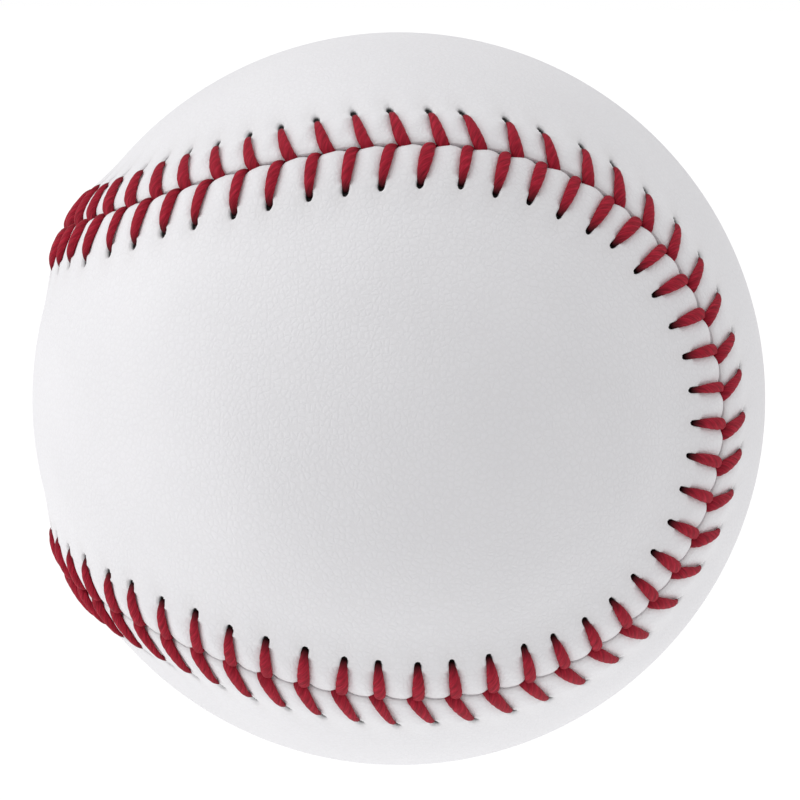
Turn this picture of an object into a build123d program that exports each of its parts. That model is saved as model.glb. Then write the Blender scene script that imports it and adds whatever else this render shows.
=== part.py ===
from build123d import *
import os
from bisect import bisect_right
from math import cos, pi, radians, sin

# A baseball as it comes apart on a bench: a cushioned cork pill, four yarn windings,
# two leather panels and the two waxed threads that sew them together.
# The origin is the ball's centre, +Z is up and -Y faces the viewer.
# The seam turns about X: panel A's waist crosses -X and its lobes face -Y and +Y,
# panel B's waist crosses +X and its lobes face up and down. Lengths are millimetres.

# The pill, from the inside out
cork_diameter = 20.64
black_rubber_wall = 3.97
gasket_thickness = 0.80
red_rubber_wall = 2.38

# The yarn windings, from the inside out
first_winding_wall = 14.54
second_winding_wall = 1.73
third_winding_wall = 2.23
finishing_winding_wall = 0.45

# The leather cover, and the film of cement left between one layer and the next
leather_wall = 1.25
sewn_leather_wall = 0.85
seam_gap = 0.30
cement_film = 0.04

# The seam line: the width of a panel's waist and how far the line sways round X, in degrees,
# and how much blunter than a plain wave the ends of the lobes are
waist_angle = 54.0
seam_sway_angle = 19.1
lobe_blunt_share = 0.024

# The stitching: two threads, each with a leg on one panel and then on the other
stitch_count = 108
first_stitch = 1.00
thread_diameter = 0.90
thread_clearance = 0.04
hole_offset = 4.60
hole_lead_a = 0.20
hole_lag_b = 1.35
panel_creep = 0.70
entry_stagger_share = 4 / 3
bend_clearance_share = 3.0
thread_start_share = 0.6
thread_join_share = 0.5
thread_finish_share = 0.4

# The welt, where the leather rides over the thread: past the holes, then down to its foot
shoulder_margin = 1.00
foot_run = 2.20
foot_depth_share = 0.5

# How finely the seam line is measured, and how many sections shape the welt
seam_steps = 2880
quarter_count = 4
quarter_sections = 12
cut_overrun = 1.0

# Radii of the layers, worked out from the walls above
cork_radius = cork_diameter / 2
black_inner = cork_radius + cement_film
black_outer = black_inner + black_rubber_wall
red_inner = black_outer + cement_film
red_outer = red_inner + red_rubber_wall
first_inner = red_outer + cement_film
first_outer = first_inner + first_winding_wall
second_inner = first_outer + cement_film
second_outer = second_inner + second_winding_wall
third_inner = second_outer + cement_film
third_outer = third_inner + third_winding_wall
finishing_inner = third_outer + cement_film
finishing_outer = finishing_inner + finishing_winding_wall
leather_inner = finishing_outer + cement_film
ball_radius = leather_inner + leather_wall

# The seam line
full_turn = 4 * pi
side_a = -1
side_b = 1


def seam_direction(turn):
    """Unit vector from the ball's centre to the seam; one lap is a turn of 4 pi."""
    waist = radians(waist_angle) / 2
    wave = cos(turn) + lobe_blunt_share * (cos(turn) - cos(3 * turn))
    polar = pi / 2 - (pi / 2 - waist) * wave
    around = turn / 2 + radians(seam_sway_angle) * sin(2 * turn)
    return Vector(-cos(polar), -sin(polar) * sin(around), sin(polar) * cos(around))


step_turns = [full_turn * step / seam_steps for step in range(seam_steps + 1)]
step_points = [seam_direction(turn) * ball_radius for turn in step_turns]
step_lengths = [0.0]
for before, after in zip(step_points, step_points[1:]):
    step_lengths.append(step_lengths[-1] + (after - before).length)
seam_length = step_lengths[-1]
stitch_pitch = seam_length / stitch_count

# Heights of the thread and of the welt above the ball's centre. A straight run of thread
# dips below the round of the ball by its sag, so the welt is that much higher.
thread_radius = thread_diameter / 2
hole_radius = thread_radius + thread_clearance
thread_bend = thread_radius + bend_clearance_share * thread_clearance
shoulder_offset = hole_offset + shoulder_margin
foot_offset = shoulder_offset + foot_run
tunnel_offset = (hole_offset + hole_radius + shoulder_offset) / 2
entry_stagger = entry_stagger_share * thread_diameter
longest_lead = stitch_pitch + entry_stagger - hole_lag_b + panel_creep
run_sag = (hole_offset**2 + longest_lead**2) / (8 * finishing_outer)
welt_sag = shoulder_offset**2 / (8 * finishing_outer)
under_height = finishing_outer + run_sag + thread_clearance + thread_radius
tunnel_height = under_height + thread_radius + thread_clearance + welt_sag
welt_height = tunnel_height + sewn_leather_wall
over_height = welt_height + thread_clearance + thread_radius
foot_height = ball_radius - foot_depth_share * leather_wall


def turn_at(along):
    """The turn at a distance along the seam."""
    rest = along % seam_length
    step = bisect_right(step_lengths, rest) - 1
    share = (rest - step_lengths[step]) / (step_lengths[step + 1] - step_lengths[step])
    return step_turns[step] + share * (step_turns[step + 1] - step_turns[step])


def seam_frame(along):
    """Unit vectors at a distance along the seam: outwards, ahead, and towards panel B."""
    turn = turn_at(along)
    half_step = full_turn / seam_steps / 2
    outward = seam_direction(turn)
    ahead = (seam_direction(turn + half_step) - seam_direction(turn - half_step)).normalized()
    return outward, ahead, outward.cross(ahead)


def place(along, offset, height):
    """Point at a distance along the seam, offset round the ball, at a height from its centre."""
    outward, _, aside = seam_frame(along)
    angle = offset / ball_radius
    return (outward * cos(angle) + aside * sin(angle)) * height


def seam_band(profile):
    """Closed band along the whole seam, in quarters, with a section of (offset, height) points."""
    loops = []
    section_count = quarter_count * quarter_sections
    for section in range(section_count + 1):
        along = seam_length * section / section_count
        corners = [place(along, offset, height) for offset, height in profile]
        loops.append(Wire.make_polygon(corners))
    starts = range(0, section_count, quarter_sections)
    return [Solid.make_loft(loops[start:start + quarter_sections + 1]) for start in starts]


# The pill
def hollow_sphere(inner, outer):
    """One closed layer between two radii."""
    return Sphere(outer) - Sphere(inner)


def slab(bottom, top, radius):
    """Block across the whole ball between two levels."""
    width = 2 * (radius + cut_overrun)
    return Pos(0, 0, bottom) * Box(width, width, top - bottom, align=(Align.CENTER, Align.CENTER, Align.MIN))


def black_rubber_pieces():
    """Two hemispheres with a gasket on the rim of each."""
    layer = hollow_sphere(black_inner, black_outer)
    top = black_outer + cut_overrun
    return {
        "black_rubber_shell_upper": layer & slab(gasket_thickness, top, black_outer),
        "rim_gasket_upper": layer & slab(0, gasket_thickness, black_outer),
        "rim_gasket_lower": layer & slab(-gasket_thickness, 0, black_outer),
        "black_rubber_shell_lower": layer & slab(-top, -gasket_thickness, black_outer),
    }


def red_rubber_pieces():
    """Two moulded halves, parted across the black shells' own joint."""
    layer = hollow_sphere(red_inner, red_outer)
    half = slab(0, red_outer + cut_overrun, red_outer)
    return {
        "red_rubber_half_right": layer & (Rot(0, 90, 0) * half),
        "red_rubber_half_left": layer & (Rot(0, -90, 0) * half),
    }


def winding_pieces():
    """Each winding is one unbroken layer of yarn."""
    return {
        "first_winding_grey_wool": hollow_sphere(first_inner, first_outer),
        "second_winding_white_wool": hollow_sphere(second_inner, second_outer),
        "third_winding_grey_wool": hollow_sphere(third_inner, third_outer),
        "finishing_winding_cotton": hollow_sphere(finishing_inner, finishing_outer),
    }


# The stitches
def hole_along(stitch, side):
    """Where along the seam a stitch leaves its hole. The panels creep past each other."""
    along = first_stitch + stitch * stitch_pitch
    creep = panel_creep * sin(turn_at(along))
    if side == side_a:
        return along - entry_stagger + hole_lead_a - creep
    return along - hole_lag_b + creep


def entry_along(stitch, side):
    """Where along the seam a leg dives between the panels."""
    along = first_stitch + stitch * stitch_pitch
    if side == side_a:
        return along - entry_stagger
    return along


def stitch_holes(side):
    """Cutters for one panel's row of holes."""
    reach = over_height - under_height
    holes = []
    for stitch in range(stitch_count):
        foot = place(hole_along(stitch, side), side * hole_offset, under_height)
        drill = Cylinder(hole_radius, reach, align=(Align.CENTER, Align.CENTER, Align.MIN))
        holes.append(Plane(origin=foot, z_dir=foot) * drill)
    return holes


def seam_notches():
    """Cutters that open the seam where the two legs of each stitch dive into it."""
    reach = over_height - under_height
    notches = []
    for stitch in range(stitch_count):
        middle = (entry_along(stitch, side_a) + entry_along(stitch, side_b)) / 2
        outward, ahead, _ = seam_frame(middle)
        floor = Plane(origin=outward * under_height, x_dir=ahead, z_dir=outward)
        notches.append(extrude(floor * SlotCenterToCenter(entry_stagger, 2 * hole_radius), reach))
    return notches


# The leather cover
def panel_blank():
    """Panel A before it is pierced: a figure of eight with a welt raised along its edge."""
    low = leather_inner - cut_overrun
    high = ball_radius + cut_overrun
    edge = seam_gap / 2
    knife = seam_band([
        (-tunnel_offset, low), (-tunnel_offset, high), (tunnel_offset, high), (tunnel_offset, low),
    ])
    welt = seam_band([
        (side_a * edge, tunnel_height), (side_a * edge, welt_height),
        (side_a * shoulder_offset, welt_height), (side_a * foot_offset, foot_height),
        (side_a * shoulder_offset, tunnel_height),
    ])
    skins = (hollow_sphere(leather_inner, ball_radius) - knife).solids().sort_by(Axis.X)
    return skins[0] + welt


def cover_pieces():
    """Two panels cut to one pattern, turned to close the ball, and pierced for the threads."""
    blank_a = panel_blank()
    blank_b = Rot(90, 0, 0) * Rot(0, 0, 180) * blank_a
    notches = seam_notches()
    return {
        "cover_panel_a": blank_a - (stitch_holes(side_a) + notches),
        "cover_panel_b": blank_b - (stitch_holes(side_b) + notches),
    }


# The threads
def thread_route(first_side):
    """Up through a hole, over the leather, down the seam and under the other panel, and again."""
    route = []
    for stitch in range(stitch_count):
        side = first_side if stitch % 2 == 0 else -first_side
        hole = hole_along(stitch, side)
        entry = entry_along(stitch, side)
        route.append(place(hole, side * hole_offset, under_height))
        route.append(place(hole, side * hole_offset, over_height))
        route.append(place(entry, 0, over_height))
        route.append(place(entry, 0, under_height))
    return route


def rounded_path(route):
    """The route with its corners rounded, one stitch at a time, from hidden run to hidden run."""
    edges = []
    corners = len(route)
    stitch_corners = corners // stitch_count
    for first in range(0, corners, stitch_corners):
        last = first + stitch_corners - 1
        run_before = route[first] - route[first - 1]
        run_after = route[(last + 1) % corners] - route[last]
        start_share = thread_start_share if first == 0 else thread_join_share
        finish_share = thread_finish_share if last == corners - 1 else thread_join_share
        start = route[first - 1] + run_before * start_share
        finish = route[last] + run_after * finish_share
        edges += FilletPolyline(start, *route[first:last + 1], finish, radius=thread_bend).edges()
    return Wire(edges)


def sewing_thread(first_side):
    """One unbroken thread round the whole seam, with both ends hidden under the leather."""
    path = rounded_path(thread_route(first_side))
    section = Plane(origin=path @ 0, z_dir=path % 0) * Circle(thread_radius)
    thread = sweep(section, path=path)
    fullness = thread.volume / (section.area * path.length)
    print(f"thread {path.length:.1f} mm, volume over section times length {fullness:.4f}")
    return thread


def thread_pieces():
    """The two threads start on opposite panels, so that their legs pair into V shapes."""
    return {
        "sewing_thread_one": sewing_thread(side_a),
        "sewing_thread_two": sewing_thread(side_b),
    }


pieces = {"cork_core": Sphere(cork_radius)}
pieces.update(black_rubber_pieces())
pieces.update(red_rubber_pieces())
pieces.update(winding_pieces())
pieces.update(cover_pieces())
pieces.update(thread_pieces())

os.makedirs("parts", exist_ok=True)
for name, piece in pieces.items():
    export_step(piece, f"parts/{name}.step")
print(f"ball radius {ball_radius:.2f}, seam {seam_length:.1f}, pitch {stitch_pitch:.3f}")
thread_top = over_height + thread_radius
print(f"welt {welt_height - ball_radius:.2f} proud, thread {thread_top - ball_radius:.2f} proud")
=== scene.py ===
import math

import bpy
import numpy as np
from mathutils import Matrix, Vector


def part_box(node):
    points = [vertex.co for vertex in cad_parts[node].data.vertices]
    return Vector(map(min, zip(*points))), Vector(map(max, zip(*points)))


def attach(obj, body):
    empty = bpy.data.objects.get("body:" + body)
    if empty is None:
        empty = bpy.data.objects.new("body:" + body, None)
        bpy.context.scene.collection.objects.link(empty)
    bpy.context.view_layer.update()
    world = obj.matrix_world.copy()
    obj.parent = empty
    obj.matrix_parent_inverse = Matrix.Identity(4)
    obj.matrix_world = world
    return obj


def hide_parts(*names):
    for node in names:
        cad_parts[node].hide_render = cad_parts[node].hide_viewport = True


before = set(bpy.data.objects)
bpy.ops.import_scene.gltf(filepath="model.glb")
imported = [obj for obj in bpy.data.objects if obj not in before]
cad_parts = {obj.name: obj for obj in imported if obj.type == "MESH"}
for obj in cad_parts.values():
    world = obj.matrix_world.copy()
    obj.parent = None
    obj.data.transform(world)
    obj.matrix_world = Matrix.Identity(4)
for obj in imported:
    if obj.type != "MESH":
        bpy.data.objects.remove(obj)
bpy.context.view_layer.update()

# A hand-sewn baseball: white leather in two figure-of-eight panels, red waxed thread,
# and inside them the yarn windings, the rubber layers and the cork.
# The script works in millimetres and turns to metres where a mesh is made.
MM = 0.001
CEMENT_FILM = 0.04
BALL_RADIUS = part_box("cover_panel_a")[1].y / MM

# The seam line, as the solids have it
WAIST_ANGLE = math.radians(54.0)
SEAM_SWAY = math.radians(19.1)
LOBE_BLUNT_SHARE = 0.024
FULL_TURN = 4 * math.pi
SEAM_STEPS = 5760

# The stitches: how far each lags behind its station, on panel A and on panel B
STITCHES = 108
FIRST_STITCH = 1.00
SIDE_A = -1
SIDE_B = 1
SIDES = (SIDE_A, SIDE_B)
HOLE_OFFSET = {SIDE_A: 4.38, SIDE_B: 4.25}
HOLE_LAG = {SIDE_A: 0.93, SIDE_B: 1.34}
HOLE_CREEP = {SIDE_A: 0.96, SIDE_B: -0.51}
ENTRY_LAG = {SIDE_A: 0.64, SIDE_B: 0.0}
ENTRY_CREEP = {SIDE_A: 0.37, SIDE_B: 0.0}
HAND_WANDER = 0.12
LEG_WANDER_SHARE = 0.06
HAND_SEED = 108

# The leather: its wall, the welt's lift and its rolled edge
LEATHER_WALL = 1.25
SEWN_WALL = 0.85
THINNING = (4.8, 6.4)
WELT_LIFT = 0.72
WELT_TOP_OFFSET = 2.4
WELT_FOOT_OFFSET = 8.6
EDGE_OFFSET = 0.09
EDGE_GAPE = 0.10
GAPE_REACH = 0.80
ROLL_WIDTH = 0.95
ROLL_DEPTH = 0.46
ROLL_ROUND_SHARE = 0.98

# The marks of each stitch: the groove under its leg, which ends at the hole, the ridge over the
# hidden run of thread, the notch in the seam, and the hole with its funnel
GROOVE_DEPTH = 0.24
GROOVE_WIDTH = 0.78
GROOVE_END_SHARES = (0.86, 1.0)
RIDGE_HEIGHT = 0.13
RIDGE_WIDTH = 0.95
RIDGE_START_SHARES = (0, 0.15)
NOTCH_DEPTH = 0.26
NOTCH_WIDTH = 0.85
NOTCH_SQUEEZE = 1.4
PIT_DEPTH = 0.60
PIT_RADIUS = {SIDE_A: 0.34, SIDE_B: 0.33}
PIT_SHIFT = {SIDE_A: 0.34, SIDE_B: 0.68}
PIT_RIM = 0.24
PIT_STRETCH = {SIDE_A: 1.6, SIDE_B: 2.4}
FUNNEL_DEPTH = 0.16
FUNNEL_WIDTH = 1.05
FUNNEL_CREASE_SHARE = 0.8

# The thread, pressed flat on the leather
LEG_WIDTH = 1.17
LEG_THICKNESS = 0.84
LEG_SINK = 0.10
PLIES = 4
PLY_LAY = 4.2
PLY_CUT_SHARE = 0.07
PLY_CUT_SHARPNESS = 1.5
THREAD_SIDES = 18
RING_STEPS = 5

rng = np.random.default_rng(HAND_SEED)


# The seam line
def seam_direction(turn):
    """Unit vectors from the ball's centre to the seam; one lap is a turn of 4 pi."""
    wave = np.cos(turn) + LOBE_BLUNT_SHARE * (np.cos(turn) - np.cos(3 * turn))
    polar = math.pi / 2 - (math.pi / 2 - WAIST_ANGLE / 2) * wave
    around = turn / 2 + SEAM_SWAY * np.sin(2 * turn)
    reach = np.sin(polar)
    return np.stack([-np.cos(polar), -reach * np.sin(around), reach * np.cos(around)], -1)


step_turns = np.linspace(0, FULL_TURN, SEAM_STEPS + 1)
step_points = seam_direction(step_turns) * BALL_RADIUS
step_runs = np.linalg.norm(np.diff(step_points, axis=0), axis=1)
step_lengths = np.concatenate([[0], np.cumsum(step_runs)])
SEAM_LENGTH = step_lengths[-1]
PITCH = SEAM_LENGTH / STITCHES


def unit(vectors):
    """Vectors made one long."""
    return vectors / np.linalg.norm(vectors, axis=-1, keepdims=True)


def turn_at(along):
    """The turn at distances along the seam."""
    return np.interp(np.mod(along, SEAM_LENGTH), step_lengths, step_turns)


def seam_frame(along):
    """Unit vectors at distances along the seam: outwards, ahead and towards panel B."""
    turn = turn_at(along)
    half_step = FULL_TURN / SEAM_STEPS / 2
    outward = seam_direction(turn)
    ahead = unit(seam_direction(turn + half_step) - seam_direction(turn - half_step))
    return outward, ahead, np.cross(outward, ahead)


def place(along, offset, height):
    """Points at distances along the seam, offsets round the ball and heights from its centre."""
    outward, _, aside = seam_frame(along)
    angle = np.asarray(offset)[..., None] / BALL_RADIUS
    return (outward * np.cos(angle) + aside * np.sin(angle)) * np.asarray(height)[..., None]


# Where each stitch leaves its hole and dives into the seam, with a little wander of the hand
stations = FIRST_STITCH + PITCH * np.arange(STITCHES)
creep = np.sin(turn_at(stations))
hole_lags, entry_lags, hole_offsets, leg_sizes = {}, {}, {}, {}
for side in SIDES:
    hole_lags[side] = HOLE_LAG[side] + HOLE_CREEP[side] * creep
    hole_lags[side] += rng.normal(0, HAND_WANDER, STITCHES)
    entry_lags[side] = ENTRY_LAG[side] + ENTRY_CREEP[side] * creep
    entry_lags[side] += rng.normal(0, HAND_WANDER / 2, STITCHES)
    hole_offsets[side] = HOLE_OFFSET[side] + rng.normal(0, HAND_WANDER, STITCHES)
    leg_sizes[side] = 1 + rng.normal(0, LEG_WANDER_SHARE, STITCHES)


# The leather's relief
def smooth(low, high, value):
    """Rises from 0 at low to 1 at high."""
    share = np.clip((value - low) / (high - low), 0, 1)
    return share * share * (3 - 2 * share)


def bell(distance, width):
    """Falls from 1 at the middle to nothing past the width."""
    return np.exp(-(distance / width) ** 2)


def line_distance(along, offset, start, finish):
    """Distance from points to a line between two (along, offset) places, and the share along it."""
    run_along = finish[0] - start[0]
    run_offset = finish[1] - start[1]
    share = (along - start[0]) * run_along + (offset - start[1]) * run_offset
    share = np.clip(share / (run_along**2 + run_offset**2), 0, 1)
    gap = np.hypot(along - start[0] - share * run_along, offset - start[1] - share * run_offset)
    return gap, share


def welt(offset):
    """Height of the plain welt over the ball."""
    return WELT_LIFT * (1 - smooth(WELT_TOP_OFFSET, WELT_FOOT_OFFSET, offset))


def leather_relief(side, along, offset):
    """Height of the leather over the ball near the seam, and masks of its holes and its creases for
    the painted shade in its colour.
    """
    roll = np.clip(1 - offset / ROLL_WIDTH, 0, 1)
    groove, ridge, notch, pit, funnel = (np.zeros_like(along) for _ in range(5))
    nearest = np.floor((along - FIRST_STITCH) / PITCH).astype(int)
    for step in (-1, 0, 1, 2):
        stitch = (nearest + step) % STITCHES
        station = FIRST_STITCH + (nearest + step) * PITCH
        hole = (station - hole_lags[side][stitch], hole_offsets[side][stitch])
        entry = (station - entry_lags[side][stitch], 0)
        under = (station - PITCH - entry_lags[-side][(stitch - 1) % STITCHES], 0)
        gap, share = line_distance(along, offset, entry, hole)
        fade = 1 - smooth(*GROOVE_END_SHARES, share)
        groove = np.maximum(groove, bell(gap, GROOVE_WIDTH) * fade)
        gap, share = line_distance(along, offset, under, hole)
        ridge = np.maximum(ridge, bell(gap, RIDGE_WIDTH) * smooth(*RIDGE_START_SHARES, share))
        gap = np.hypot(along - entry[0], NOTCH_SQUEEZE * offset)
        notch = np.maximum(notch, bell(gap, NOTCH_WIDTH))
        lean = np.arctan2(hole[0] - entry[0], hole[1])
        past_along, past_offset = along - hole[0], offset - hole[1]
        outer = past_along * np.sin(lean) + past_offset * np.cos(lean) - PIT_SHIFT[side]
        across = past_along * np.cos(lean) - past_offset * np.sin(lean)
        reach = np.hypot(outer / PIT_STRETCH[side], across)
        inner = PIT_RADIUS[side] - PIT_RIM / 2
        pit = np.maximum(pit, 1 - smooth(inner, inner + PIT_RIM, reach))
        funnel = np.maximum(funnel, bell(reach, FUNNEL_WIDTH))
    height = welt(offset) - ROLL_DEPTH * (1 - np.sqrt(1 - ROLL_ROUND_SHARE * roll**2))
    height += RIDGE_HEIGHT * ridge * (1 - groove) - GROOVE_DEPTH * groove
    height -= NOTCH_DEPTH * notch + FUNNEL_DEPTH * funnel + PIT_DEPTH * pit
    # The pit and crease masks returned here steer the painted shade in the leather's colour.
    crease = np.clip(np.maximum(np.maximum(groove, roll), FUNNEL_CREASE_SHARE * funnel), 0, 1)
    return height, pit, crease


# Meshes
def dress(piece, replaced, material):
    """Makes a piece ride on the ball, stand for one solid and wear its finish."""
    piece.data.materials.clear()
    piece.data.materials.append(material)
    piece.data.shade_smooth()
    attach(piece, "root")
    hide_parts(replaced)


def new_piece(name, points, faces, attributes):
    """A piece with its place in its mesh, and a number on each point for each attribute."""
    mesh = bpy.data.meshes.new(name)
    mesh.from_pydata((np.asarray(points) * MM).tolist(), [], faces)
    mesh.update()
    for key, values in attributes.items():
        layer = mesh.attributes.new(key, "FLOAT", "POINT")
        layer.data.foreach_set("value", np.asarray(values, np.float32).ravel())
    piece = bpy.data.objects.new(name, mesh)
    bpy.context.scene.collection.objects.link(piece)
    return piece


class Skin:
    """A closed surface made of loops of points that follow the seam."""

    def __init__(self):
        self.points, self.dark, self.crease, self.faces = [], [], [], []
        self.count = 0

    def add(self, points, dark=0.0, crease=0.0):
        """Adds points and gives their numbers."""
        size = len(points)
        self.points.append(points)
        self.dark.append(np.broadcast_to(dark, size))
        self.crease.append(np.broadcast_to(crease, size))
        self.count += size
        return np.arange(self.count - size, self.count)

    def join(self, first, second):
        """Faces between two loops. One may have half as many points as the other."""
        if len(first) == len(second):
            rows = [[first, np.roll(first, -1), np.roll(second, -1), second]]
        else:
            swap = len(first) < len(second)
            fine, coarse = (second, first) if swap else (first, second)
            low, middle, ahead = fine[0::2], fine[1::2], np.roll(coarse, -1)
            rows = [
                [low, middle, coarse], [middle, np.roll(low, -1), ahead], [middle, ahead, coarse],
            ]
            rows = [row[::-1] if swap else row for row in rows]
        for row in rows:
            self.faces += np.stack(row, 1).tolist()

    def fill(self, loop, start, radius, segments, outside):
        """Closes a loop with rungs from one side of the panel to the other."""
        size = len(loop)
        points = np.concatenate(self.points)
        shares = np.arange(1, segments)[:, None] / segments
        rungs = [np.full(segments + 1, loop[start])]
        for step in range(1, size // 2):
            first, last = loop[(start + step) % size], loop[(start - step) % size]
            left, right = unit(points[first]), unit(points[last])
            angle = math.acos(left @ right)
            arc = np.sin((1 - shares) * angle) * left + np.sin(shares * angle) * right
            arc = self.add(arc / math.sin(angle) * radius)
            rungs.append(np.concatenate([[first], arc, [last]]))
        rungs.append(np.full(segments + 1, loop[(start + size // 2) % size]))
        for low, high in zip(rungs, rungs[1:]):
            for k in range(segments):
                around = [low[k], high[k], high[k + 1], low[k + 1]]
                corners = list(dict.fromkeys(int(number) for number in around))
                self.faces.append(corners if outside else corners[::-1])


# A panel's loops: how many points each has, and how far each is from the seam
POINTS_PER_STITCH = 20
FINE = POINTS_PER_STITCH * STITCHES
MIDDLE = FINE // 2
COARSE = MIDDLE // 2
UNDER_OFFSETS = (12.2, 9.0, 6.4, 4.8, 2.4, 0.4)
FAR_OFFSETS = (10.4, 12.2)
NEAR_OFFSETS = np.concatenate([
    np.geomspace(EDGE_OFFSET, 1.0, 8, endpoint=False),
    np.linspace(1.0, 3.5, 8, endpoint=False),
    np.linspace(3.5, 5.8, 13, endpoint=False),
    np.linspace(5.8, 9.0, 6),
])
RUNGS_OUTSIDE = 28
RUNGS_INSIDE = 12


def leather_panel(name, side):
    """One panel: plain inside, and outside with every pucker of its sewn edge."""
    skin = Skin()
    along = {size: SEAM_LENGTH * np.arange(size) / size for size in (FINE, MIDDLE, COARSE)}
    stitch_share = (along[FINE] - FIRST_STITCH + ENTRY_LAG[SIDE_A]) / PITCH
    gape = EDGE_GAPE * (1 - np.cos(2 * math.pi * stitch_share)) / 2

    def plain_loop(size, offset, height):
        return skin.add(place(along[size], np.full(size, side * offset), np.full(size, height)))

    loops = []
    for offset in UNDER_OFFSETS:
        wall = SEWN_WALL + (LEATHER_WALL - SEWN_WALL) * smooth(*THINNING, offset)
        loops.append(plain_loop(COARSE, offset, BALL_RADIUS + welt(offset) - wall))
    foot = BALL_RADIUS + WELT_LIFT - SEWN_WALL
    loops.append(plain_loop(MIDDLE, EDGE_OFFSET, foot))
    for offset in NEAR_OFFSETS:
        offsets = offset + gape * math.exp(-offset / GAPE_REACH)
        height, dark, crease = leather_relief(side, along[FINE], offsets)
        if offset == EDGE_OFFSET:
            halfway = (BALL_RADIUS + height + foot) / 2
            loops.append(skin.add(place(along[FINE], side * offsets, halfway), dark, crease))
        points = place(along[FINE], side * offsets, BALL_RADIUS + height)
        loops.append(skin.add(points, dark, crease))
    for size, offset in zip((MIDDLE, COARSE), FAR_OFFSETS):
        loops.append(plain_loop(size, offset, BALL_RADIUS))
    for low, high in zip(loops, loops[1:]):
        skin.join(low, high)
    lobe_end = COARSE // 4 if side == SIDE_A else 0
    skin.fill(loops[0], lobe_end, BALL_RADIUS - LEATHER_WALL, RUNGS_INSIDE, False)
    skin.fill(loops[-1], lobe_end, BALL_RADIUS, RUNGS_OUTSIDE, True)
    faces = skin.faces if side == SIDE_B else [face[::-1] for face in skin.faces]
    marks = {"dark": np.concatenate(skin.dark), "crease": np.concatenate(skin.crease)}
    return new_piece(name, np.concatenate(skin.points), faces, marks)


# The threads
# Marks along one stitch: share of the way to the hole, height over the leather, size, lead ahead,
# and how much painted shade darkens the thread there
UNDER = -1.15
RISE_MARKS = [
    (0.45, UNDER, 0.72, 0, 1.0), (0.96, UNDER + 0.08, 0.64, 0, 1.0),
    (1.05, UNDER + 0.60, 0.64, 0, 1.0),
]
LEG_MARKS = {
    SIDE_A: [(1.01, -0.26, 0.60, 0, 0.72), (0.86, 0.05, 0.82, 0, 0.0), (0.62, 0.09, 1.01, 0, 0),
             (0.36, 0.08, 1.08, 0, 0), (0.14, 0.00, 0.98, 0, 0.05)],
    SIDE_B: [(1.01, -0.24, 0.48, 0, 0.74), (0.86, 0.04, 0.63, 0, 0.05), (0.62, 0.08, 0.84, 0, 0),
             (0.34, 0.10, 1.07, 0, 0), (0.06, 0.06, 1.14, 0.06, 0.05)],
}
DIVE_MARKS = {
    SIDE_A: [(0.04, -0.40, 0.84, 0.16, 0.5), (0.02, UNDER + 0.15, 0.74, 0.45, 1.0)],
    SIDE_B: [(-0.07, -0.30, 1.02, 0.38, 0.2), (-0.08, UNDER + 0.15, 0.80, 0.70, 1.0)],
}


def thread_marks(first_side):
    """One thread's (along, offset, height, size, dark) marks, stitch after stitch."""
    marks = []
    bed = LEG_THICKNESS / 2 - GROOVE_DEPTH - LEG_SINK
    for stitch in range(STITCHES):
        side = first_side if stitch % 2 == 0 else -first_side
        hole = stations[stitch] - hole_lags[side][stitch]
        entry = stations[stitch] - entry_lags[side][stitch]
        before = stations[stitch] - PITCH - entry_lags[-side][stitch - 1]
        reach = hole_offsets[side][stitch]
        plump = leg_sizes[side][stitch]
        for share, height, size, lead, dark in RISE_MARKS:
            spot = before + (hole - before) * share + lead
            marks.append((spot, side * reach * share, welt(reach * share) + height, size, dark))
        for share, height, size, lead, dark in LEG_MARKS[side]:
            spot = entry + (hole - entry) * share + lead
            level = welt(reach * share) + bed + height
            marks.append((spot, side * reach * share, level, size * plump, dark))
        for share, height, size, lead, dark in DIVE_MARKS[side]:
            marks.append((entry + lead, side * reach * share, WELT_LIFT + height, size, dark))
    return np.array(marks)


def b_spline(values, steps):
    """Smooth open line near a row of control values, with a number of steps for each."""
    padded = np.concatenate([values[:1], values, values[-1:]])
    t = np.arange(steps) / steps
    weights = [(1 - t) ** 3, 3 * t**3 - 6 * t**2 + 4, 3 * (t + t**2 - t**3) + 1, t**3]
    weights = np.stack(weights, 1) / 6
    spans = np.stack([padded[k:len(padded) - 3 + k] for k in range(4)], 1)
    return np.einsum("sk,nk...->ns...", weights, spans).reshape((-1,) + values.shape[1:])


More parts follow.
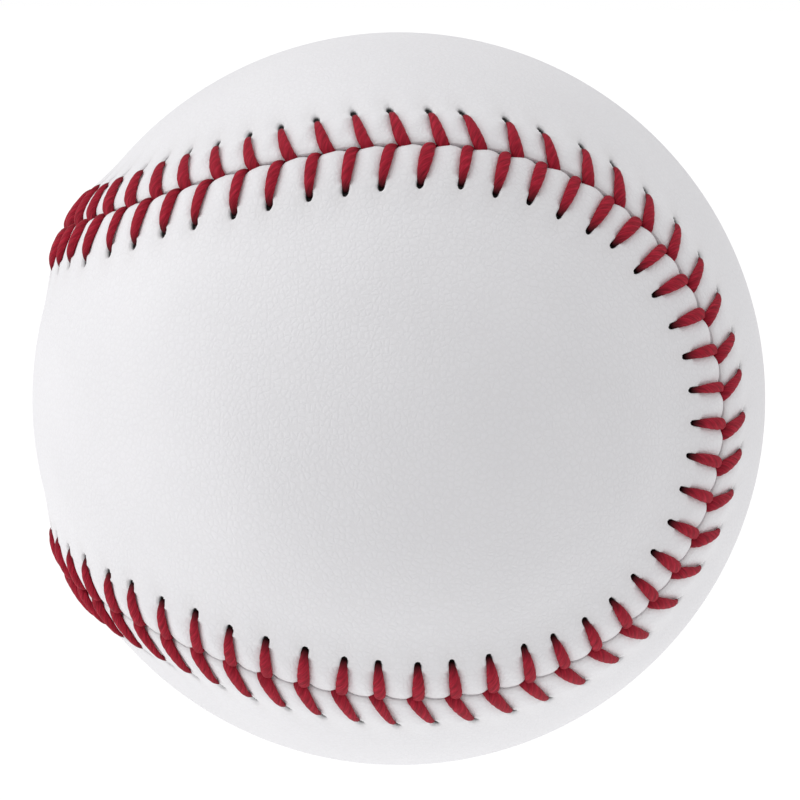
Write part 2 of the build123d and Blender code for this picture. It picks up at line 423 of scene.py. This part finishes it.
def sewing_thread(name, first_side):
    """One thread of twisted plies, pressed a little flat where it lies on the leather."""
    marks = thread_marks(first_side)
    centres = b_spline(place(marks[:, 0], marks[:, 1], BALL_RADIUS + marks[:, 2]), RING_STEPS)
    sizes = b_spline(marks[:, 3], RING_STEPS)
    dark = b_spline(marks[:, 4], RING_STEPS)
    ahead = b_spline(seam_frame(marks[:, 0])[1], RING_STEPS)
    tangents = unit(np.gradient(centres, axis=0))
    across = unit(ahead - tangents * np.sum(ahead * tangents, axis=1, keepdims=True))
    upright = np.cross(tangents, across)
    runs = np.linalg.norm(np.diff(centres, axis=0), axis=1)
    lengths = np.concatenate([[0], np.cumsum(runs)])
    angles = 2 * math.pi * np.arange(THREAD_SIDES) / THREAD_SIDES
    phase = angles - 2 * math.pi * lengths[:, None] / PLY_LAY
    valley = (1 - np.abs(np.cos(phase * PLIES / 2))) ** PLY_CUT_SHARPNESS
    radius = sizes[:, None] * (1 - PLY_CUT_SHARE * valley) / 2
    wide = (radius * np.cos(angles) * LEG_WIDTH)[..., None] * across[:, None, :]
    tall = (radius * np.sin(angles) * LEG_THICKNESS)[..., None] * upright[:, None, :]
    rings = centres[:, None, :] + wide + tall
    numbers = np.arange(rings.shape[0] * THREAD_SIDES).reshape(-1, THREAD_SIDES)
    beside = np.roll(numbers, -1, axis=1)
    quads = np.stack([numbers[:-1], beside[:-1], beside[1:], numbers[1:]], -1).reshape(-1, 4)
    faces = quads.tolist() + [numbers[0][::-1].tolist(), numbers[-1].tolist()]
    attributes = {
        "ply": phase * PLIES / (2 * math.pi),
        "run": np.repeat(lengths, THREAD_SIDES),
        "valley": valley,
        "dark": np.repeat(dark, THREAD_SIDES),
    }
    return new_piece(name, rings.reshape(-1, 3), faces, attributes)


# The yarn windings
YARN_STEPS = 40
YARN_ROUNDNESS = 1
CORE_SUBDIVISIONS = 5


def wound_yarn(name, node, inside, yarn, turns, laps):
    """A wound layer: a hollow core, and on it one yarn in turns that cross each other."""
    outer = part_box(node)[1].z / MM
    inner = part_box(inside)[1].z / MM + CEMENT_FILM
    core = outer - yarn / 2
    bpy.ops.object.select_all(action="DESELECT")
    bpy.ops.mesh.primitive_ico_sphere_add(subdivisions=CORE_SUBDIVISIONS, radius=core * MM)
    shell = bpy.context.object
    shell.name = name
    wall = shell.modifiers.new("wall", "SOLIDIFY")
    wall.thickness = (core - inner) * MM
    wall.offset = -1
    bpy.ops.object.modifier_apply(modifier=wall.name)
    turn = np.arange(turns * YARN_STEPS + 1) / YARN_STEPS
    tilt = np.arccos(1 - turn / turns)
    around = 2 * math.pi * laps * turn / turns
    flat = np.cos(tilt)
    slope = np.stack([np.cos(around) * flat, np.sin(around) * flat, -np.sin(tilt)], 1)
    level = np.stack([-np.sin(around), np.cos(around), 0 * around], 1)
    angle = 2 * math.pi * turn[:, None]
    points = (np.cos(angle) * slope + np.sin(angle) * level) * core * MM
    curve = bpy.data.curves.new(name + "_yarn", "CURVE")
    curve.dimensions = "3D"
    curve.bevel_depth = yarn / 2 * MM
    curve.bevel_resolution = YARN_ROUNDNESS
    curve.use_fill_caps = True
    spline = curve.splines.new("POLY")
    spline.points.add(len(points) - 1)
    spline.points.foreach_set("co", np.column_stack([points, np.ones(len(points))]).ravel())
    strand = bpy.data.objects.new(name + "_yarn", curve)
    bpy.context.scene.collection.objects.link(strand)
    bpy.ops.object.select_all(action="DESELECT")
    strand.select_set(True)
    bpy.context.view_layer.objects.active = strand
    bpy.ops.object.convert(target="MESH")
    shell.select_set(True)
    bpy.context.view_layer.objects.active = shell
    bpy.ops.object.join()
    return shell


# Materials
def linear(code):
    """Linear colour of an sRGB hex code."""
    values = [int(code[k:k + 2], 16) / 255 for k in (0, 2, 4)]
    straight = [v / 12.92 if v <= 0.04045 else ((v + 0.055) / 1.055) ** 2.4 for v in values]
    return (*straight, 1.0)


def add_node(tree, kind, inputs=None, **settings):
    """Adds a node with its settings, and sets or links its inputs by name or number."""
    node = tree.nodes.new("ShaderNode" + kind)
    for key, value in settings.items():
        setattr(node, key, value)
    for key, value in (inputs or {}).items():
        if isinstance(value, bpy.types.NodeSocket):
            tree.links.new(value, node.inputs[key])
        else:
            node.inputs[key].default_value = value
    return node


def new_material(name, constants):
    """A material whose shader has these constants on its own sockets."""
    material = bpy.data.materials.new(name)
    material.use_nodes = True
    shader = material.node_tree.nodes["Principled BSDF"]
    for key, value in constants.items():
        shader.inputs[key].default_value = value
    return material, material.node_tree, shader


def set_ramp(ramp, stops):
    """Gives a colour ramp its (place, hex code) stops."""
    elements = ramp.color_ramp.elements
    while len(elements) < len(stops):
        elements.new(1.0)
    for element, (spot, code) in zip(elements, stops):
        element.position = spot
        element.color = linear(code)
    return ramp.outputs[0]


def finish_surface(tree, shader, colour, height, strength, depth):
    """Links a colour and a bump of a real depth in millimetres to the shader."""
    bump = add_node(tree, "Bump", {"Height": height, "Strength": strength, "Distance": depth * MM})
    tree.links.new(colour, shader.inputs["Base Color"])
    tree.links.new(bump.outputs[0], shader.inputs["Normal"])


# The rolled leather's grain, pores and cloudy tone in millimetres,
# and how much painted shade darkens its grain valleys and its creases
GRAIN = 0.6
PORE = 0.35
CLOUD = 16.0
GRAIN_SHADE = 0.055
CREASE_SHADE = 0.22


def alum_tanned_leather():
    """Alum-tanned cowhide, rolled smooth: chalk white with a soft sheen and a fine pebbled grain.
    The stitch holes are painted near-black, and the sewn edge, the grooves and the grain valleys a
    little greyer, as painted shade."""
    material, tree, shader = new_material("alum_tanned_leather", {
        "IOR": 1.46, "Sheen Weight": 0.05,
    })
    place_in = add_node(tree, "TexCoord").outputs["Object"]
    cloud_size = {"Vector": place_in, "Scale": 1 / (CLOUD * MM), "Detail": 4.0}
    cloud = add_node(tree, "TexNoise", cloud_size)
    tone = set_ramp(add_node(tree, "ValToRGB", {0: cloud.outputs[0]}),
                    [(0.3, "f1f0f3"), (0.7, "f6f5f8")])
    pore_size = {"Vector": place_in, "Scale": 1 / (PORE * MM), "Detail": 3.0}
    pores = add_node(tree, "TexNoise", pore_size)
    bend = {0: pores.outputs["Color"], 1: (GRAIN * MM / 4,) * 3, 2: place_in}
    bent = add_node(tree, "VectorMath", bend, operation="MULTIPLY_ADD").outputs[0]
    pebble_size = {"Vector": bent, "Scale": 1 / (GRAIN * MM)}
    pebbles = add_node(tree, "TexVoronoi", pebble_size, feature="DISTANCE_TO_EDGE")
    pebble = pebbles.outputs["Distance"]
    # Painted shade: the valleys between the grain's pebbles are painted a little darker.
    valley_range = {0: pebble, 1: 0.0, 2: 0.18, 3: GRAIN_SHADE, 4: 0.0}
    valley = add_node(tree, "MapRange", valley_range).outputs[0]
    valley_tint = {0: valley, 6: tone, 7: linear("b9b4b4")}
    grained = add_node(tree, "Mix", valley_tint, data_type="RGBA").outputs[2]
    dark = add_node(tree, "Attribute", attribute_name="dark").outputs["Fac"]
    crease = add_node(tree, "Attribute", attribute_name="crease").outputs["Fac"]
    # Painted shade: the sewn edge, the grooves under the legs and the funnels round the holes are
    # painted greyer.
    painted_crease_shade = add_node(tree, "Math", {0: crease, 1: CREASE_SHADE}, operation="MULTIPLY").outputs[0]
    edge_tint = {0: painted_crease_shade, 6: grained, 7: linear("cfc8c6")}
    edge = add_node(tree, "Mix", edge_tint, data_type="RGBA").outputs[2]
    # Painted shade: the stitch holes are painted near-black.
    hole = add_node(tree, "MapRange", {0: dark, 1: 0.25, 2: 0.65}).outputs[0]
    hole_tint = {0: hole, 6: edge, 7: linear("0c0707")}
    holed = add_node(tree, "Mix", hole_tint, data_type="RGBA").outputs[2]
    sheen = add_node(tree, "MapRange", {0: pores.outputs[0], 3: 0.46, 4: 0.60})
    tree.links.new(sheen.outputs[0], shader.inputs["Roughness"])
    crown_range = {0: pebble, 1: 0.0, 2: 0.25}
    crown = add_node(tree, "MapRange", crown_range, interpolation_type="SMOOTHSTEP")
    rises = {0: pores.outputs[0], 1: crown.outputs[0]}
    relief = add_node(tree, "Math", rises, operation="ADD").outputs[0]
    finish_surface(tree, shader, holed, relief, strength=0.5, depth=0.04)
    return material


# How many fibres show across a ply of the thread, and how much painted shade darkens the valleys
# between its plies
PLY_FIBRES = 6.0
PLY_SHADE = 0.40


def waxed_thread():
    """Waxed cotton thread: crimson and dull, with fibres along its plies; painted shade darkens it
    where it dives.
    """
    material, tree, shader = new_material("waxed_cotton_thread", {
        "Roughness": 0.65, "IOR": 1.45, "Specular IOR Level": 0.2,
    })
    ply, run, valley, dark = (
        add_node(tree, "Attribute", attribute_name=key).outputs["Fac"]
        for key in ("ply", "run", "valley", "dark")
    )
    fibre_across = add_node(tree, "Math", {0: ply, 1: PLY_FIBRES}, operation="MULTIPLY").outputs[0]
    fibre_place = add_node(tree, "CombineXYZ", {0: fibre_across, 1: run}).outputs[0]
    fibre_size = {"Vector": fibre_place, "Scale": 1.0, "Detail": 3.0}
    fibres = add_node(tree, "TexNoise", fibre_size).outputs[0]
    tone = set_ramp(add_node(tree, "ValToRGB", {0: fibres}),
                    [(0.30, "800c22"), (0.50, "a8182e"), (0.70, "c22a42")])
    # Painted shade: the valleys between the plies are painted darker.
    shade = add_node(tree, "Math", {0: valley, 1: PLY_SHADE}, operation="MULTIPLY").outputs[0]
    valley_tint = {0: shade, 6: tone, 7: linear("480614")}
    deep = add_node(tree, "Mix", valley_tint, data_type="RGBA").outputs[2]
    # Painted shade: the thread is painted near-black where it dives into a hole or the seam and
    # where it runs under the leather.
    dive_tint = {0: dark, 6: deep, 7: linear("0e0507")}
    hidden = add_node(tree, "Mix", dive_tint, data_type="RGBA").outputs[2]
    finish_surface(tree, shader, hidden, fibres, strength=0.30, depth=0.06)
    return material


def spun_yarn(name, shadow, light, fibre):
    """Spun yarn, wool or cotton: dull and fuzzy, with mottled fibres of a width in millimetres."""
    material, tree, shader = new_material(name, {
        "Roughness": 0.95, "Sheen Weight": 0.35, "IOR": 1.50,
    })
    place_in = add_node(tree, "TexCoord").outputs["Object"]
    fibre_size = {"Vector": place_in, "Scale": 1 / (fibre * MM), "Detail": 5.0}
    fibres = add_node(tree, "TexNoise", fibre_size).outputs[0]
    tone = set_ramp(add_node(tree, "ValToRGB", {0: fibres}), [(0.32, shadow), (0.68, light)])
    finish_surface(tree, shader, tone, fibres, strength=0.5, depth=fibre / 2)
    return material


# The rubber's clouds of bloom and its pebble, and the cork's grains and specks, in millimetres
RUBBER_BLOOM = 6.0
RUBBER_PEBBLE = 0.4
CORK_GRAIN = 1.5
CORK_SPECK = 0.3


def moulded_rubber(name, shadow, light):
    """Cushion rubber from a mould: matt, with a faint bloom in clouds and a fine pebble."""
    material, tree, shader = new_material(name, {"Roughness": 0.68, "IOR": 1.52})
    place_in = add_node(tree, "TexCoord").outputs["Object"]
    bloom_size = {"Vector": place_in, "Scale": 1 / (RUBBER_BLOOM * MM), "Detail": 6.0}
    bloom = add_node(tree, "TexNoise", bloom_size).outputs[0]
    pebble_size = {"Vector": place_in, "Scale": 1 / (RUBBER_PEBBLE * MM), "Detail": 2.0}
    pebble = add_node(tree, "TexNoise", pebble_size).outputs[0]
    tone = set_ramp(add_node(tree, "ValToRGB", {0: bloom}), [(0.35, shadow), (0.70, light)])
    finish_surface(tree, shader, tone, pebble, strength=0.3, depth=0.05)
    return material


def moulded_cork():
    """Cork granules pressed with rubber: brown grains of about 1.5 mm, darker where they meet."""
    material, tree, shader = new_material("pressed_cork_granules", {"Roughness": 0.85, "IOR": 1.45})
    place_in = add_node(tree, "TexCoord").outputs["Object"]
    grains = add_node(tree, "TexVoronoi", {"Vector": place_in, "Scale": 1 / (CORK_GRAIN * MM)})
    speck_size = {"Vector": place_in, "Scale": 1 / (CORK_SPECK * MM), "Detail": 3.0}
    speck = add_node(tree, "TexNoise", speck_size).outputs[0]
    tint = add_node(tree, "SeparateColor", {0: grains.outputs["Color"]}).outputs[0]
    mixed = add_node(tree, "Mix", {0: 0.35, 2: tint, 3: speck}).outputs[0]
    tone = set_ramp(add_node(tree, "ValToRGB", {0: mixed}),
                    [(0.15, "7a5434"), (0.55, "ad7f52"), (0.9, "c9a074")])
    apart = grains.outputs["Distance"]
    joint = add_node(tree, "MapRange", {0: apart, 1: 0.55, 2: 0.95, 3: 0.0, 4: 0.8}).outputs[0]
    joint_tint = {0: joint, 6: tone, 7: linear("3a2618")}
    colour = add_node(tree, "Mix", joint_tint, data_type="RGBA").outputs[2]
    finish_surface(tree, shader, colour, speck, strength=0.4, depth=0.1)
    return material


# The studio: the floor in millimetres, then the camera and the ball's circle in the photograph's
# pixels, and the strengths of the light and the sides it is dim on or comes from
FLOOR_REACH = 12000.0
FLOOR_CORNERS = 64
FLOOR_GLOW = 0.94
CAMERA_AZIMUTH = math.radians(5.83)
CAMERA_ELEVATION = math.radians(5.05)
CAMERA_ROLL = math.radians(0.41)
CAMERA_DISTANCE_RADII = 13.0
SENSOR_WIDTH = 36.0
CAMERA_NEAR = 0.01
CAMERA_FAR = 100.0
IMAGE_SIDE = 800
BALL_PIXELS = 366.5
BALL_CENTRE_X = 398.8
BALL_CENTRE_Y = 398.6
TENT_LIGHT = 0.916
FRONT_DIP = 0.558
REAR_DIP = 0.25
DIM_SIDE = Vector((0.173, -0.969, -0.178)).normalized()
FLOOR_LIFT = Vector((0, 0, -0.41))
LAMP_STRENGTH = 0.824
LAMP_SIDE = Vector((-0.774, -0.433, 0.463))
LAMP_SPREAD = math.radians(70)


def studio_floor():
    """Plain white floor that runs past the picture. The tent, not the floor, lights the ball."""
    bpy.ops.object.select_all(action="DESELECT")
    bpy.ops.mesh.primitive_circle_add(
        vertices=FLOOR_CORNERS, radius=FLOOR_REACH * MM, fill_type="NGON",
    )
    floor = bpy.context.object
    floor.name = "studio_floor"
    floor.location.z = -BALL_RADIUS * MM
    bpy.ops.object.transform_apply()
    material, tree, shader = new_material("white_paper", {
        "Base Color": linear("555555"), "Roughness": 0.9,
        "Emission Color": linear("ffffff"), "Emission Strength": FLOOR_GLOW,
    })
    floor.data.materials.append(material)
    floor.visible_diffuse = False
    floor.visible_glossy = False
    floor.visible_shadow = False


def studio_light():
    """A white light tent, dimmer in front and a little behind, that throws more light from below,
    and a wide soft lamp on the left."""
    world = bpy.data.worlds.new("light_tent")
    bpy.context.scene.world = world
    world.use_nodes = True
    tree = world.node_tree
    towards = add_node(tree, "TexCoord").outputs["Generated"]
    turn = add_node(tree, "VectorMath", {0: towards, 1: DIM_SIDE}, operation="DOT_PRODUCT")
    facing = turn.outputs["Value"]
    front = add_node(tree, "Math", {0: facing, 1: FRONT_DIP}, operation="MULTIPLY").outputs[0]
    rear = add_node(tree, "Math", {0: facing, 1: -REAR_DIP}, operation="MULTIPLY").outputs[0]
    dip = add_node(tree, "Math", {0: front, 1: rear}, operation="MAXIMUM").outputs[0]
    tent = add_node(tree, "Math", {0: TENT_LIGHT, 1: dip}, operation="SUBTRACT").outputs[0]
    below = add_node(tree, "VectorMath", {0: towards, 1: FLOOR_LIFT}, operation="DOT_PRODUCT")
    upwards = {0: below.outputs["Value"], 1: 0.0}
    lift = add_node(tree, "Math", upwards, operation="MAXIMUM").outputs[0]
    light = add_node(tree, "Math", {0: tent, 1: lift}, operation="ADD").outputs[0]
    seen = add_node(tree, "LightPath").outputs["Is Camera Ray"]
    bright = add_node(tree, "Math", {0: light, 1: seen}, operation="MAXIMUM").outputs[0]
    background = tree.nodes["Background"]
    background.inputs["Color"].default_value = linear("ffffff")
    tree.links.new(bright, background.inputs["Strength"])
    lamp = bpy.data.lights.new("wide_soft_lamp", "SUN")
    lamp.energy = LAMP_STRENGTH
    lamp.angle = LAMP_SPREAD
    stand = bpy.data.objects.new("wide_soft_lamp", lamp)
    stand.rotation_euler = LAMP_SIDE.to_track_quat("Z", "Y").to_euler()
    bpy.context.scene.collection.objects.link(stand)


def studio_camera():
    """Camera at the photograph's viewing angle, turned a little about its own line of sight."""
    right = Vector((math.cos(CAMERA_AZIMUTH), math.sin(CAMERA_AZIMUTH), 0))
    level_back = Vector((math.sin(CAMERA_AZIMUTH), -math.cos(CAMERA_AZIMUTH), 0))
    back = level_back * math.cos(CAMERA_ELEVATION) + Vector((0, 0, math.sin(CAMERA_ELEVATION)))
    up = back.cross(right)
    turned_right = right * math.cos(CAMERA_ROLL) + up * math.sin(CAMERA_ROLL)
    turned_up = up * math.cos(CAMERA_ROLL) - right * math.sin(CAMERA_ROLL)
    camera = bpy.data.objects.new("camera", bpy.data.cameras.new("camera"))
    bpy.context.scene.collection.objects.link(camera)
    stand = Matrix.Translation(back * CAMERA_DISTANCE_RADII * BALL_RADIUS * MM)
    camera.matrix_world = stand @ Matrix((turned_right, turned_up, back)).transposed().to_4x4()
    focal_pixels = BALL_PIXELS * math.sqrt(CAMERA_DISTANCE_RADII**2 - 1)
    camera.data.sensor_width = SENSOR_WIDTH
    camera.data.lens = SENSOR_WIDTH * focal_pixels / IMAGE_SIDE
    camera.data.shift_x = (IMAGE_SIDE / 2 - BALL_CENTRE_X) / IMAGE_SIDE
    camera.data.shift_y = (BALL_CENTRE_Y - IMAGE_SIDE / 2) / IMAGE_SIDE
    camera.data.clip_start = CAMERA_NEAR
    camera.data.clip_end = CAMERA_FAR
    bpy.context.scene.camera = camera


# The ball
leather = alum_tanned_leather()
thread = waxed_thread()
dress(leather_panel("leather_panel_a", SIDE_A), "cover_panel_a", leather)
dress(leather_panel("leather_panel_b", SIDE_B), "cover_panel_b", leather)
dress(sewing_thread("waxed_thread_one", SIDE_A), "sewing_thread_one", thread)
dress(sewing_thread("waxed_thread_two", SIDE_B), "sewing_thread_two", thread)

grey_wool = spun_yarn("grey_wool_yarn", "4c4c50", "9a999c", 0.35)
white_wool = spun_yarn("white_wool_yarn", "c9c3b4", "f0ece0", 0.35)
cotton = spun_yarn("white_cotton_yarn", "d8d5cc", "f5f3ee", 0.20)
# Each layer: its node, the node inside it, yarn size, turns, laps of their plane, slot, finish
WINDINGS = [
    ("first_winding_grey_wool", "red_rubber_half_right", 2.4, 90, 7, "grey_wool", grey_wool),
    ("second_winding_white_wool", "first_winding_grey_wool", 1.5, 150, 9, "white_wool", white_wool),
    ("third_winding_grey_wool", "second_winding_white_wool", 1.2, 180, 11, "grey_wool", grey_wool),
    ("finishing_winding_cotton", "third_winding_grey_wool", 0.4, 300, 13, "white_cotton", cotton),
]
for node_name, inside_name, yarn_size, turn_count, lap_count, slot_name, finish in WINDINGS:
    piece_name = "yarn_" + node_name
    layer = wound_yarn(piece_name, node_name, inside_name, yarn_size, turn_count, lap_count)
    dress(layer, node_name, finish)

black_rubber = moulded_rubber("black_cushion_rubber", "141415", "232324")
red_rubber = moulded_rubber("red_cushion_rubber", "7c2119", "98332a")
SOLID_FINISHES = {
    "cork_core": moulded_cork(),
    "black_rubber_shell_upper": black_rubber,
    "black_rubber_shell_lower": black_rubber,
    "rim_gasket_upper": red_rubber,
    "rim_gasket_lower": red_rubber,
    "red_rubber_half_right": red_rubber,
    "red_rubber_half_left": red_rubber,
}
for node_name, finish in SOLID_FINISHES.items():
    for material_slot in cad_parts[node_name].material_slots:
        material_slot.material = finish

studio_floor()
studio_light()
studio_camera()
bpy.context.scene.view_settings.view_transform = "Standard"

bpy.context.view_layer.update()
